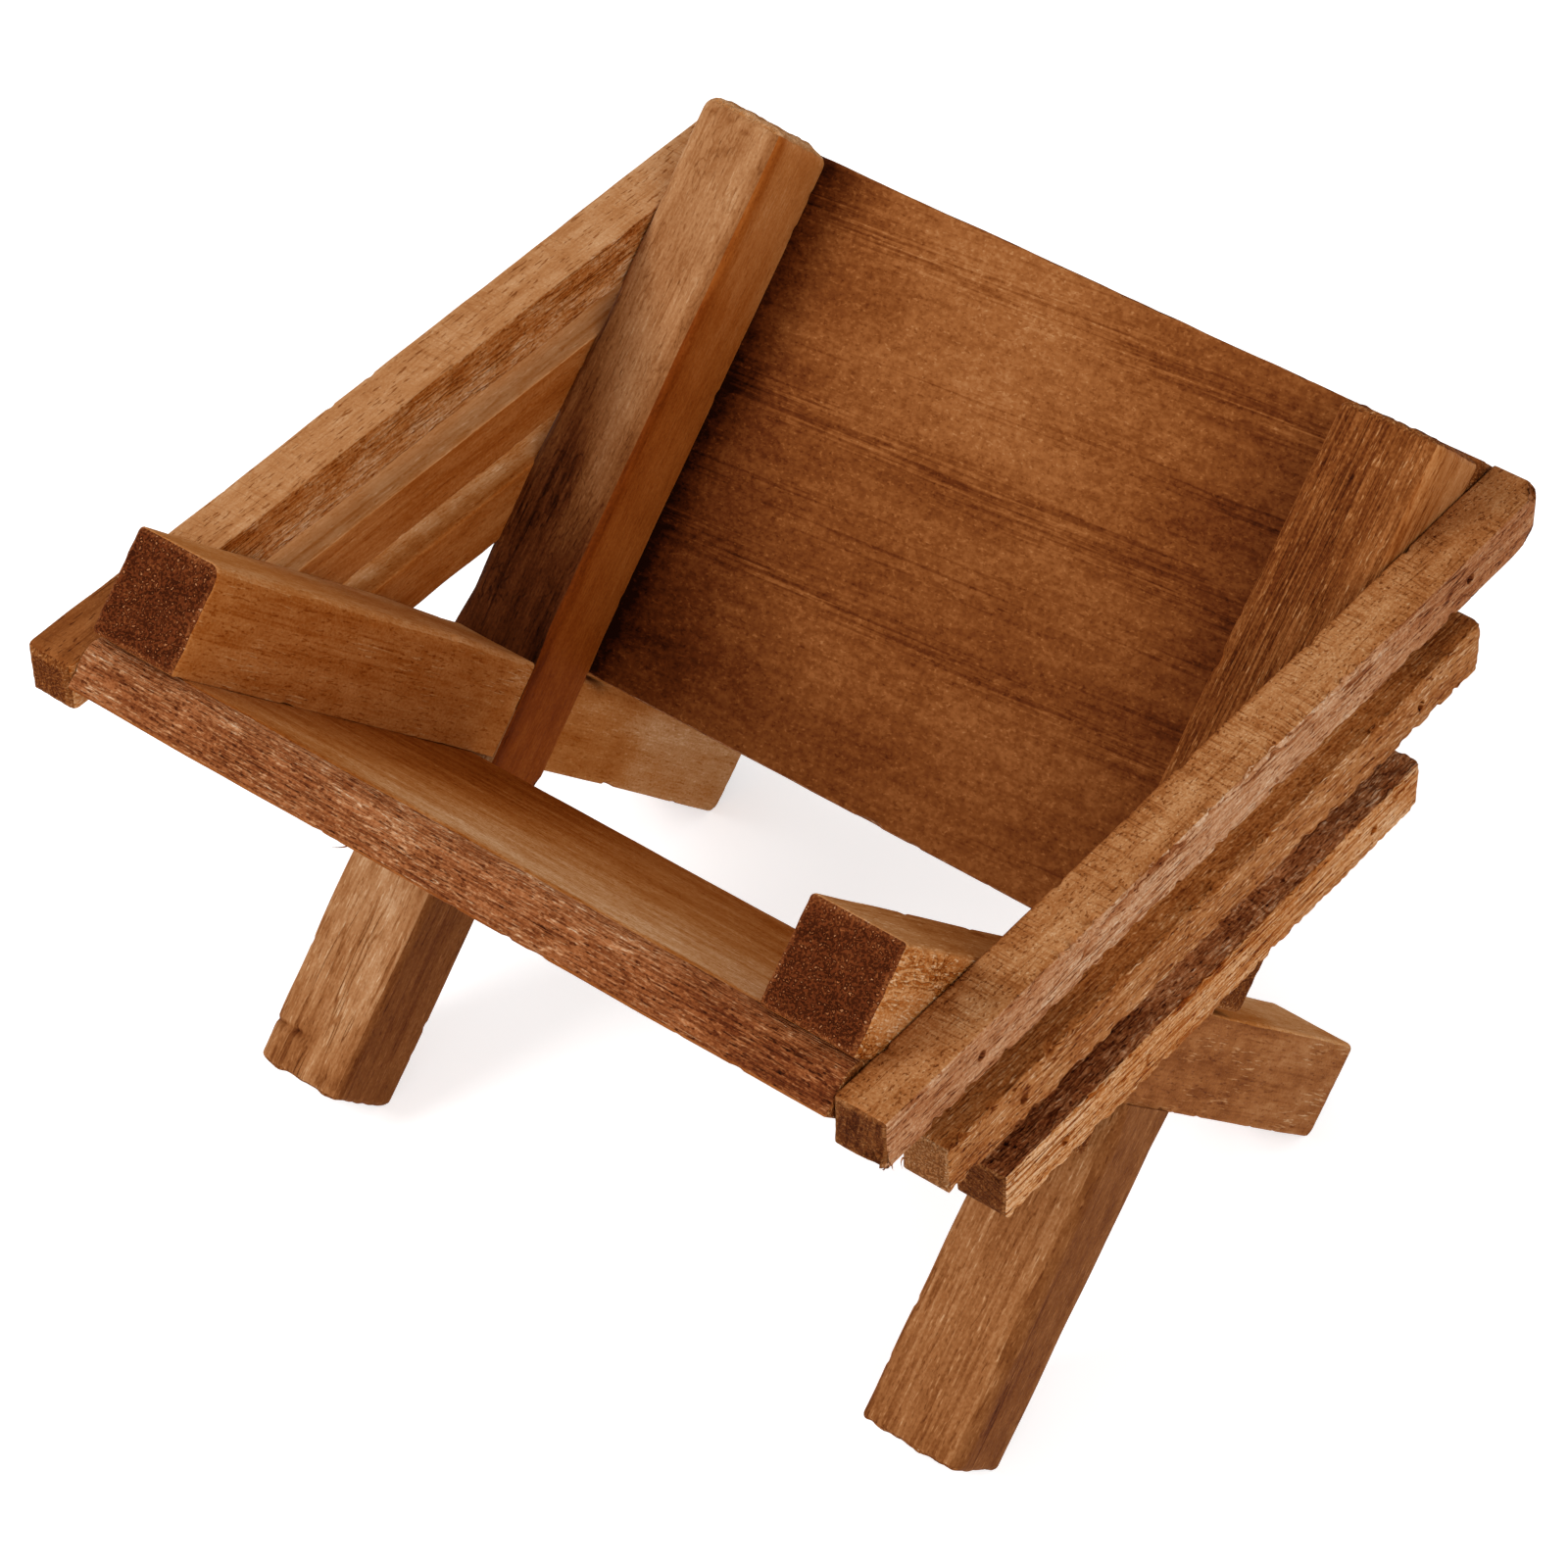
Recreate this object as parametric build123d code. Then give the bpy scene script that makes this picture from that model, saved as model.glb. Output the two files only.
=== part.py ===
from build123d import *
import os
from math import cos, radians, sin

# Legs: square bars, halved into each other in two crossed frames
LEG_SECTION = 10.0
UPPER_ARM = 62.5  # middle of the lap to the top end
LOWER_ARM = 42.8  # middle of the lap to the foot's end
LEAN = 45.0  # degrees from the vertical
LEG_ROUND = 0.8  # softened long edges
FOOT_TRIM = 0.6  # height sanded off the corner that each foot stands on
FRAME_SPAN = 86.5  # over the outer faces of the two frames

# Boards on the outer sides of the upper arms, flush with the frames and the arms' ends
BOARD_THICKNESS = 5.6
FRONT_BOARD_GAP = 3.4  # lower edge to the legs that pass under it
BACK_BOARD_GAP = 0.9
BOARD_ROUND = 0.4

# Slats across the outer face of each frame, the longest at the top
SLAT_THICKNESS = 5.4
SLAT_HEIGHT = 5.7
SLAT_DROP = 2.0  # top slat below the lower corner of the arms' ends
LEFT_SLAT_PITCH = 9.6
RIGHT_SLAT_PITCH = 11.0
SLAT_OVERHANG = 2.3  # top slat's ends past the boards, at its lower edge
SLAT_OVERHANG_STEP = 2.3  # more on each slat further down
SLAT_ROUND = 0.4

# Headless pins through both ends of every slat
PIN_DIAMETER = 0.8
PIN_CLEARANCE = 0.02  # all round
PIN_INSET = 12.8  # from the top slat's end
PIN_INSET_STEP = 2.2  # less on each slat further down
PIN_BITE = 6.0  # length behind the slat
PIN_SINK = 0.2  # below the slat's outer face

# Signs along X for the two frames, and of the turn about X for the two legs of a frame.
# A leg is named after its foot: the front leg rises to the back.
SIDES = {"left": -1, "right": 1}
PITCHES = {SIDES["left"]: LEFT_SLAT_PITCH, SIDES["right"]: RIGHT_SLAT_PITCH}
TURNS = {"front": -1, "back": 1}
SLATS = ("top", "middle", "bottom")

lean = radians(LEAN)
half_leg = LEG_SECTION / 2
board_outside = half_leg + BOARD_THICKNESS
leg_length = UPPER_ARM + LOWER_ARM
leg_middle = (UPPER_ARM - LOWER_ARM) / 2
frame_x = (FRAME_SPAN - LEG_SECTION) / 2
lap_height = LOWER_ARM * cos(lean) + half_leg * sin(lean) - FOOT_TRIM
arm_corner_height = lap_height + UPPER_ARM * cos(lean) - half_leg * sin(lean)
top_slat_height = arm_corner_height - SLAT_DROP


def rounded_bar(length, width, depth, edge_round):
    """A straight bar along Z, centred, with its four long edges rounded."""
    return extrude(RectangleRounded(width, depth, edge_round), length / 2, both=True)


def along_leg(turn):
    """The frame of one leg's lean: Z up along the leg, X across, the lap's middle at its origin."""
    return Pos(0, 0, lap_height) * Rot(turn * LEAN, 0, 0)


def leg(side, turn):
    """One leg, with the other leg's half of the lap cut away and a narrow flat under its foot.

    The back leg keeps the outer half of the lap and the front leg the inner half.
    """
    bar = rounded_bar(leg_length, LEG_SECTION, LEG_SECTION, LEG_ROUND)
    bar = along_leg(turn) * Pos(side * frame_x, 0, leg_middle) * bar
    notch = Box(half_leg, LEG_SECTION, leg_length)
    notch_x = side * (frame_x - turn * half_leg / 2)
    bar -= along_leg(-turn) * Pos(notch_x, 0, leg_middle) * notch
    return split(bar, bisect_by=Plane.XY, keep=Keep.TOP)


def crossing_edge(offset):
    """How far up an arm the other leg reaches, this far out from the arm's middle line."""
    return (half_leg - offset * cos(2 * lean)) / sin(2 * lean)


def board(turn, gap):
    """A board under the two arms of this turn, from just above the crossing legs to the arms' ends."""
    low = max(crossing_edge(half_leg), crossing_edge(board_outside)) + gap
    width = UPPER_ARM - low
    middle = Pos(0, -turn * (half_leg + BOARD_THICKNESS / 2), low + width / 2)
    plank = rounded_bar(FRAME_SPAN, width, BOARD_THICKNESS, BOARD_ROUND)
    return along_leg(turn) * middle * Rot(0, 90, 0) * plank


def slat_middle_height(side, step):
    return top_slat_height - step * PITCHES[side] - SLAT_HEIGHT / 2


def slat_reach(step):
    """Half the length of a slat: to the boards' outer faces at its lower edge, and the overhang.

    The right frame's spacing sets it; the left slats are cut to the same three lengths.
    """
    low_edge = slat_middle_height(SIDES["right"], step) - SLAT_HEIGHT / 2 - lap_height
    boards = (board_outside + low_edge * sin(lean)) / cos(lean)
    return boards + SLAT_OVERHANG + step * SLAT_OVERHANG_STEP


def slat(side, step):
    middle = Pos(side * (FRAME_SPAN + SLAT_THICKNESS) / 2, 0, slat_middle_height(side, step))
    stick = rounded_bar(2 * slat_reach(step), SLAT_THICKNESS, SLAT_HEIGHT, SLAT_ROUND)
    return middle * Rot(90, 0, 0) * stick


def pins(side, radius, outer_end):
    """Rods along X at both ends of each slat of one frame, reaching out to outer_end past the frame."""
    length = PIN_BITE + outer_end
    middle_x = side * (FRAME_SPAN / 2 + outer_end - length / 2)
    rods = []
    for step in range(len(SLATS)):
        for end in (-1, 1):
            y = end * (slat_reach(step) - PIN_INSET + step * PIN_INSET_STEP)
            rod = Rot(0, 90, 0) * Cylinder(radius, length)
            rods.append(Pos(middle_x, y, slat_middle_height(side, step)) * rod)
    return rods


pin_radius = PIN_DIAMETER / 2
pin_holes = {
    name: pins(side, pin_radius + PIN_CLEARANCE, SLAT_THICKNESS) for name, side in SIDES.items()
}
all_pin_holes = pin_holes["left"] + pin_holes["right"]

nodes = {
    "front_board": board(TURNS["back"], FRONT_BOARD_GAP) - all_pin_holes,
    "back_board": board(TURNS["front"], BACK_BOARD_GAP) - all_pin_holes,
}
for side_name, side in SIDES.items():
    for turn_name, turn in TURNS.items():
        nodes[f"{side_name}_{turn_name}_leg"] = leg(side, turn) - pin_holes[side_name]
    for step, slat_name in enumerate(SLATS):
        nodes[f"{side_name}_{slat_name}_slat"] = slat(side, step) - pin_holes[side_name]
    driven = pins(side, pin_radius, SLAT_THICKNESS - PIN_SINK)
    nodes[f"{side_name}_slat_pins"] = Compound(driven)

os.makedirs("parts", exist_ok=True)
for name, shape in nodes.items():
    export_step(shape, f"parts/{name}.step")
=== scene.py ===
import math

import bpy
from mathutils import Matrix, Quaternion, Vector, noise


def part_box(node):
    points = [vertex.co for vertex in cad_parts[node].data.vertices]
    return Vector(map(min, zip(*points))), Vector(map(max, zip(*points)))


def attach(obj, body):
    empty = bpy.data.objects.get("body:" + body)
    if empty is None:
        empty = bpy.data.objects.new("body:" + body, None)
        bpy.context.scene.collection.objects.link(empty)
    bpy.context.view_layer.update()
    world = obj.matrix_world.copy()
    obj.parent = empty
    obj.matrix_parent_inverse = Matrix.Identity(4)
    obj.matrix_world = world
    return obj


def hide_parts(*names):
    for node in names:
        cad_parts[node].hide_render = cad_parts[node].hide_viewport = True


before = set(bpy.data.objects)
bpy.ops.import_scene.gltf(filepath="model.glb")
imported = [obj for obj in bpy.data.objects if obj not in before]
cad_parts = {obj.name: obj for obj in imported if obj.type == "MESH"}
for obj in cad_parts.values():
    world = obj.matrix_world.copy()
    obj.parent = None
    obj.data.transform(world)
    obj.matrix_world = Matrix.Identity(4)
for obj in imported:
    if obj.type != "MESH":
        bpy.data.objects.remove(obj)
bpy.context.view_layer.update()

mm = 0.001
scene = bpy.context.scene
print("stage: CAD rows loaded")


def linear(code):
    parts = [int(code[i : i + 2], 16) / 255 for i in (0, 2, 4)]
    return tuple(p / 12.92 if p <= 0.04045 else ((p + 0.055) / 1.055) ** 2.4 for p in parts) + (1.0,)


def addNode(tree, kind, settings=None, links=None):
    node = tree.nodes.new("ShaderNode" + kind)
    for key, value in (settings or {}).items():
        if isinstance(key, str) and hasattr(node, key):
            setattr(node, key, value)
        else:
            node.inputs[key].default_value = value
    for key, source in (links or {}).items():
        if source is not None:
            tree.links.new(source, node.inputs[key])
    return node


# The emptied node tree of a new material or world
def emptyTree(owner):
    owner.use_nodes = True
    owner.node_tree.nodes.clear()
    return owner.node_tree


# What all the wood shares. Spans are of noise, sizes and wander are in mm.
woodCommon = {
    "darkened": -0.5,  # change of tone where stain was drunk in, and where shade is painted in cracks, tears, gaps and corners
    "clusterSpan": (0.46, 0.62),
    "drift": ((9.0, 5.0, 5.0), (0.3, 0.7), 2.0),  # size, span and detail; bends the front of a fade
    "edgeWander": 0.35, "wanderShare": 0.25, "mostWander": 2.5,
}


# One builder for all the wood. A look is a body tone, rows of figure, fades, a range of roughness and
# a shine. The tone runs from 0 to 1 through the look's eight colours.
def stainedWood(name, look):
    material = bpy.data.materials.new(name)
    tree = emptyTree(material)
    grain, place, edge, stainAndShade = (
        addNode(tree, "Attribute", {"attribute_name": label}).outputs[kind]
        for label, kind in (("grain", "Vector"), ("place", "Vector"), ("edge", "Fac"), ("stainAndShade", "Fac"))
    )

    # noise spots of this size, or thin lines where it is ridged
    def cloud(size, span, detail=1.0, ridge=False):
        shares = [1 / s for s in size]
        scaled = addNode(tree, "VectorMath", {"operation": "MULTIPLY", 1: shares}, {0: grain})
        drawn = {"Scale": 1.0, "Detail": detail}
        mist = addNode(tree, "TexNoise", drawn, {"Vector": scaled.outputs[0]})
        if ridge:
            mist = addNode(tree, "Math", {"operation": "PINGPONG", 1: 0.5}, {0: mist.outputs[0]})
        limits = {"From Min": span[0], "From Max": span[1]}
        return addNode(tree, "MapRange", limits, {"Value": mist.outputs[0]}).outputs[0]

    # 1 in the middle of each belt, 0 outside them all
    def nearBelts(belts):
        reach = None
        for way, middle, wide in belts:
            dot = {"operation": "DOT_PRODUCT", 1: way}
            where = addNode(tree, "VectorMath", dot, {0: place}).outputs["Value"]
            apart = addNode(tree, "Math", {"operation": "SUBTRACT", 1: middle}, {0: where})
            apart = addNode(tree, "Math", {"operation": "ABSOLUTE"}, {0: apart.outputs[0]})
            limits = {"From Min": wide, "From Max": 0.0}
            near = addNode(tree, "MapRange", limits, {"Value": apart.outputs[0]}).outputs[0]
            larger = {"operation": "MAXIMUM", 1: 0.0}
            reach = addNode(tree, "Math", larger, {0: near, 1: reach}).outputs[0]
        return reach

    # stain drunk in, and painted shade in creases, tears, gaps and corners, darken the body tone
    darkened = {"operation": "MULTIPLY_ADD", 1: woodCommon["darkened"], 2: look["body"]}
    sums = {"tone": addNode(tree, "Math", darkened, {0: stainAndShade}).outputs[0], "height": None}
    for own in look["figure"].values():
        mask = cloud(own["size"], own["span"], own.get("detail", 1.0), "ridge" in own)
        shares = []
        if "cluster" in own:
            shares.append(cloud(own["cluster"], woodCommon["clusterSpan"]))
        if "belts" in own:
            shares.append(nearBelts(own["belts"]))
        for share in shares:
            both = {0: mask, 1: share}
            mask = addNode(tree, "Math", {"operation": "MULTIPLY"}, both).outputs[0]
        for kind, total in sums.items():
            if own[kind]:
                added = {"operation": "MULTIPLY_ADD", 1: own[kind], 2: 0.0}
                sums[kind] = addNode(tree, "Math", added, {0: mask, 2: total}).outputs[0]
    # slow changes along, across and through the piece, with a wandering front
    tone = sums["tone"]
    drift = cloud(*woodCommon["drift"])
    for way, start, full, weight in look["fades"]:
        where, wander = edge, woodCommon["edgeWander"]
        if way != "edge":
            dot = {"operation": "DOT_PRODUCT", 1: way}
            where = addNode(tree, "VectorMath", dot, {0: place}).outputs["Value"]
            wander = min(woodCommon["mostWander"], woodCommon["wanderShare"] * abs(full - start))
        added = {"operation": "MULTIPLY_ADD", 1: wander}
        moved = addNode(tree, "Math", added, {0: drift, 2: where})
        limits = {
            "interpolation_type": "SMOOTHSTEP",
            "From Min": start + wander / 2,
            "From Max": full + wander / 2,
        }
        mask = addNode(tree, "MapRange", limits, {"Value": moved.outputs[0]}).outputs[0]
        added = {"operation": "MULTIPLY_ADD", 1: weight}
        tone = addNode(tree, "Math", added, {0: mask, 2: tone}).outputs[0]
    ramp = addNode(tree, "ValToRGB", None, {0: tone})
    stops = ramp.color_ramp.elements
    while len(stops) < len(toneSteps):
        stops.new(0.5)
    for stop, step, code in zip(stops, toneSteps, look["tones"]):
        stop.position = step
        stop.color = linear(code)
    limits = {"To Min": look["rough"][0], "To Max": look["rough"][1]}
    rough = addNode(tree, "MapRange", limits, {"Value": tone})
    bump = addNode(tree, "Bump", {"Strength": 1.0, "Distance": mm}, {"Height": sums["height"]})
    skin = addNode(
        tree,
        "BsdfPrincipled",
        {"Specular IOR Level": look["shine"]},
        {"Base Color": ramp.outputs[0], "Roughness": rough.outputs[0], "Normal": bump.outputs[0]},
    )
    addNode(tree, "OutputMaterial", None, {"Surface": skin.outputs[0]})
    return material


# Brown stain on pale wood, from the pores to the places where it was wiped thin
toneSteps = (0.0, 0.15, 0.3, 0.45, 0.6, 0.75, 0.9, 1.0)
stain = ("1b0600", "411704", "612a0a", "7d4016", "985929", "af7443", "c69366", "dab18a")
warm = ("1c0500", "431502", "642806", "813b0d", "9b531d", "b26f38", "c8905e", "dcae84")
tan = ("1c0802", "401906", "5f2c0e", "7b431b", "965b2e", "ad7648", "c4956a", "d8b38e")
dry = ("1c0a03", "3f1b09", "5d2e13", "794621", "935e35", "aa784e", "c19770", "d6b694")
russet = ("1e0903", "421a08", "612c12", "7d4320", "985b34", "ae764e", "c49570", "d8b393")


# A row of figure is a noise: its size in mm along, across and through the grain, the span over which
# it comes in, how far it moves the tone and how high it stands in mm. It may be ridged into lines,
# gathered in clusters of a size in mm, or kept to belts (way, middle, half width). Pores and lines are
# about as wide as in the real wood, 0.2 to 0.3 mm.
def row(size, span, tone, height=0.0, **more):
    return {"size": size, "span": span, "tone": tone, "height": height, **more}


# A base look with another body, other colours or fades, and rows changed or added. A number alone
# changes a row's tone. A fade is a way, where it starts and is full in mm, and its change of tone.
def vary(base, body, tones=None, fades=(), shine=None, **rows):
    figure = dict(base["figure"])
    for name, change in rows.items():
        change = change if isinstance(change, dict) else {"tone": change}
        figure[name] = {**figure.get(name, {}), **change}
    return {
        **base,
        "body": body,
        "figure": figure,
        "tones": tones or base["tones"],
        "fades": base["fades"] + tuple(fades),
        "shine": base["shine"] if shine is None else shine,
    }


alongX, alongY, alongZ = (1, 0, 0), (0, 1, 0), (0, 0, 1)

# planed: soft growth bands, short pores and light flecks that are painted glints
planed = {
    "tones": stain,
    "rough": (0.66, 0.56),
    "shine": 0.02,
    "fades": (("edge", 0.0, 0.6, -0.03),),
    "figure": {
        "growth": row((70, 1.8, 9), (0.36, 0.64), 0.08),
        "mottle": row((5, 2.2, 2.2), (0.34, 0.66), 0.08, detail=2),
        "lines": row((12, 0.36, 0.6), (0.52, 0.68), -0.08, -0.01, cluster=(50, 4, 4)),
        "fibres": row((3, 0.24, 0.24), (0.36, 0.64), 0.05, 0.008),
        "pores": row((1.2, 0.24, 0.24), (0.63, 0.70), -0.10, -0.03),
        "flecks": row((1.4, 0.22, 0.22), (0.62, 0.72), 0.08, 0.01),
        "speckle": row((0.34, 0.26, 0.26), (0.34, 0.66), 0.07, 0.01),
    },
}
# sawn: open cracks and pores, raised fibres and faint strokes of the saw across the grain
sawn = {
    "tones": tan,
    "rough": (0.78, 0.68),
    "shine": 0.03,
    "fades": (("edge", 0.0, 0.4, -0.03),),
    "figure": {
        "growth": row((40, 1.6, 6), (0.36, 0.64), 0.08),
        "mottle": row((4, 2, 2), (0.34, 0.66), 0.10, detail=2),
        "saw": row((0.4, 6, 6), (0.46, 0.62), -0.04, -0.015, cluster=(8, 6, 6)),
        "cracks": row((9, 0.8, 0.8), (0.45, 0.49), -0.34, -0.14, ridge=True, cluster=(6, 2.5, 2.5)),
        "fibres": row((5, 0.5, 0.5), (0.44, 0.49), 0.16, 0.05, ridge=True, cluster=(4, 2, 2)),
        "lines": row((3.5, 0.28, 0.28), (0.50, 0.64), -0.14, -0.05),
        "pores": row((0.9, 0.26, 0.26), (0.62, 0.68), -0.28, -0.10),
        "flecks": row((1.2, 0.2, 0.2), (0.60, 0.67), 0.20, 0.04),
        "speckle": row((0.3, 0.22, 0.22), (0.36, 0.64), 0.14, 0.02),
    },
}
# end grain: open vessels that drank the stain, bright broken walls between them, painted glints and a dusty
# rim
endGrain = {
    "tones": russet,
    "rough": (0.8, 0.7),
    "shine": 0.02,
    "fades": (("edge", 0.7, 0.0, 0.16),),
    "figure": {
        "rings": row((30, 1.1, 6), (0.36, 0.64), 0.05),
        "mottle": row((6, 2.4, 2.4), (0.34, 0.66), 0.06),
        "vessels": row((3, 0.3, 0.3), (0.44, 0.56), -0.17, -0.10),
        "walls": row((3, 0.24, 0.24), (0.55, 0.64), 0.30, 0.08),
        "glints": row((3, 0.3, 0.3), (0.68, 0.74), 0.4, 0.05),
    },
}
# fine strokes across, left by the saw
crossSawn = {
    "saw": row((0.28, 4, 4), (0.44, 0.6), -0.11, -0.025, cluster=(20, 9, 9)),
    "strokes": row((1.1, 9, 9), (0.455, 0.49), -0.14, -0.04, ridge=True, cluster=(7, 4, 4)),
    "lines": dict(tone=-0.05, height=-0.01),
    "cracks": dict(tone=-0.12, height=-0.04, cluster=(9, 1.5, 1.5)),
    "fibres": dict(tone=0.03, height=0.01),
    "pores": row((0.5, 0.24, 0.24), (0.63, 0.69), -0.20, -0.06),
    "flecks": row((0.4, 0.24, 0.24), (0.63, 0.70), 0.12, 0.02),
    "mottle": 0.09,
    "speckle": 0.11,
}

looks = {}
# even brown with soft bands
looks["plain"] = "wood planed and stained", vary(planed, 0.42)
# smooth and orange, only a little figure shows
looks["plainWarm"] = "wood planed and stained warm", vary(
    planed, 0.67, warm, shine=0.0, mottle=0.06, lines=-0.05, pores=-0.08
)
# less orange, with more light dashes, darker away from the end: a painted shadow towards the slat
looks["plainTan"] = "wood planed and stained thin", vary(
    planed, 0.64, stain, [(alongX, 47, 38, -0.14)], 0.0,
    mottle=0.09, lines=-0.10, flecks=0.18,
)
# deep orange, hardly any figure
looks["slatOrange"] = "wood planed and oiled orange", vary(
    planed, 0.525, warm, [(alongZ, 0.6, -2.6, 0.03), (alongX, 2, 14, 0.09)], 0.0,
    mottle=0.05, pores=-0.06,
)
# light, with a thin dark line along it
looks["slatTan"] = "wood planed and left pale", vary(
    planed, 0.745, warm, shine=0.0,
    line=row((30, 0.5, 9), (0.3, 0.5), -0.12, -0.02, belts=((alongY, 1.3, 0.35),)),
    pores=-0.06, speckle=0.04,
)
# light, browner towards the inner arris
looks["slatFaded"] = "wood planed and partly wiped", vary(
    planed, 0.70, warm, [(alongY, 0.4, 2.6, -0.17)], 0.0,
    mottle=row((3, 1.4, 1.4), (0.34, 0.66), 0.12, detail=2),
)
# plain brown
looks["slatBrown"] = "wood planed and stained brown", vary(
    planed, 0.525, warm, shine=0.0, pores=-0.06, flecks=0.05
)
# pale stripes with broken dark streaks; darker towards the lap and in a band along the slat side that widens
# downwards, partly stain and partly painted shade of the slats and the crossing leg
looks["tanStreaked"] = "wood planed and wiped thin", vary(
    planed, 0.585, dry,
    [((0.27, -1, 0), 7.1, 2.1, -0.26), (alongX, 28, -2, -0.19), (alongY, -3.0, -4.4, -0.15)],
    lines=row((9, 0.5, 0.8), (0.54, 0.66), -0.11, -0.03, cluster=(30, 5, 5)),
    wrinkles=row((2.2, 0.9, 0.9), (0.455, 0.49), -0.08, -0.04, ridge=True, cluster=(6, 3, 3)),
    mottle=0.08,
    fibres=dict(tone=0.07, height=0.02),
)
# worn pale, with long soft cracks
looks["footTan"] = "wood planed and worn", vary(
    planed, 0.58, dry, [(alongX, -40, -50, -0.11)],
    lines=row((9, 0.5, 0.8), (0.52, 0.64), -0.2, -0.04, cluster=(30, 5, 5)),
    cracks=row((8, 0.8, 0.8), (0.455, 0.49), -0.18, -0.08, ridge=True, cluster=(12, 3, 3)),
    mottle=0.13,
    fibres=dict(tone=0.10, height=0.015),
    flecks=0.14,
)
# orange red, nearly without figure where the stain lies thick
looks["redSmooth"] = "wood sanded and stained deep", vary(
    planed, 0.475, warm,
    [
        (alongX, 24, 46, 0.16), (alongX, 10, -6, -0.08), (alongZ, 2.0, 4.6, -0.09),
        (alongZ, 3.3, 4.6, -0.06),
    ],
    lines=-0.04, pores=-0.05, flecks=0.03, speckle=0.06, mottle=0.06, growth=0.05,
)
# dull brown, handled smooth
looks["footDull"] = "wood sanded and handled", vary(
    planed, 0.37, dry, mottle=0.07, lines=-0.08, flecks=0.10
)
# the same with soft dark streaks
looks["footStreaked"] = "wood sanded and streaked", vary(
    planed, 0.33, dry,
    lines=row((9, 0.6, 0.8), (0.5, 0.66), -0.18, -0.02, cluster=(24, 4, 4)),
    mottle=row((4, 1.6, 1.6), (0.34, 0.66), 0.12, detail=2),
    flecks=0.14,
)
# small light dashes, painted glints, and dark pores on orange
looks["orangeFlecked"] = "wood scraped and stained", vary(
    planed, 0.565, warm, [(alongX, 8, -8, 0.05)], 0.0,
    flecks=row((2.6, 0.2, 0.2), (0.60, 0.66), 0.14, 0.04, cluster=(9, 4, 4)),
    pores=row((1.1, 0.24, 0.24), (0.62, 0.68), -0.13, -0.03),
    growth=0.06, lines=-0.10, speckle=0.09,
)
# light tan, pores and fine lines
looks["tanPlain"] = "wood planed and thinly stained", vary(
    planed, 0.57, stain,
    lines=row((9, 0.4, 0.4), (0.50, 0.64), -0.18, -0.05, cluster=(30, 9, 9)),
    pores=-0.14, mottle=0.08,
)
# light and warm, hardly any figure left, darker towards the lap: painted shade
looks["footPale"] = "wood sanded and rubbed pale", vary(
    planed, 0.76, warm, [(alongX, -36, -26, -0.14)], 0.0, pores=-0.08, mottle=0.07
)
# thin ribs of hard and soft grain stand out, dark between them
looks["ribbed"] = "wood wire brushed and stained", vary(
    planed, 0.245, tan, [(alongY, 0.5, -4.0, 0.055), (alongX, 42, 32, 0.045)],
    growth=row((60, 0.9, 2.0), (0.36, 0.64), 0.06),
    ribs=row((20, 0.2, 0.2), (0.44, 0.56), 0.10, 0.05),
    lines=row((9, 0.18, 0.18), (0.48, 0.58), -0.16, -0.07, cluster=(60, 9, 9)),
    fibres=row((4, 0.2, 0.2), (0.36, 0.64), 0.07, 0.03),
    flecks=row((1.1, 0.18, 0.18), (0.62, 0.69), 0.24, 0.03),
    speckle=dict(tone=0.12, height=0.02),
)
# soft streaks, rubbed light
looks["footLined"] = "wood brushed and rubbed", vary(
    planed, 0.42, dry, [(alongX, -40, -51, -0.08)],
    growth=row((60, 1.2, 2.4), (0.36, 0.64), 0.07),
    ribs=row((26, 0.34, 0.5), (0.42, 0.58), 0.09, 0.02),
    lines=row((7, 0.5, 0.7), (0.52, 0.66), -0.14, -0.03, cluster=(20, 4, 4)),
    fibres=dict(tone=0.07, height=0.015),
    flecks=0.16,
    speckle=dict(tone=0.09, height=0.015),
)
# golden, with short wavy cracks where the plane tore the grain
looks["tanWrinkled"] = "wood torn by the plane", vary(
    planed, 0.66, warm, [(alongX, 22, 2, -0.13)],
    lines=row((1.2, 0.3, 0.3), (0.48, 0.58), -0.22, -0.12),
    wrinkles=row((0.8, 0.6, 0.6), (0.44, 0.49), -0.20, -0.12, ridge=True, cluster=(5, 3, 3)),
    flecks=row((0.9, 0.2, 0.2), (0.58, 0.67), 0.22, 0.05),
    speckle=dict(tone=0.14, height=0.03),
)
# golden brown with soft blotches and a few light dashes; darker towards the lap, a painted shade of the slats
looks["footGolden"] = "wood sanded and oiled", vary(
    planed, 0.485, tan, [(alongX, -36, -24, -0.08)],
    mottle=row((3, 1.6, 1.6), (0.34, 0.66), 0.13, detail=2),
    flecks=row((2.4, 0.2, 0.2), (0.60, 0.66), 0.26, 0.04, cluster=(9, 4, 4)),
    lines=-0.08, pores=-0.12,
)
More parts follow.
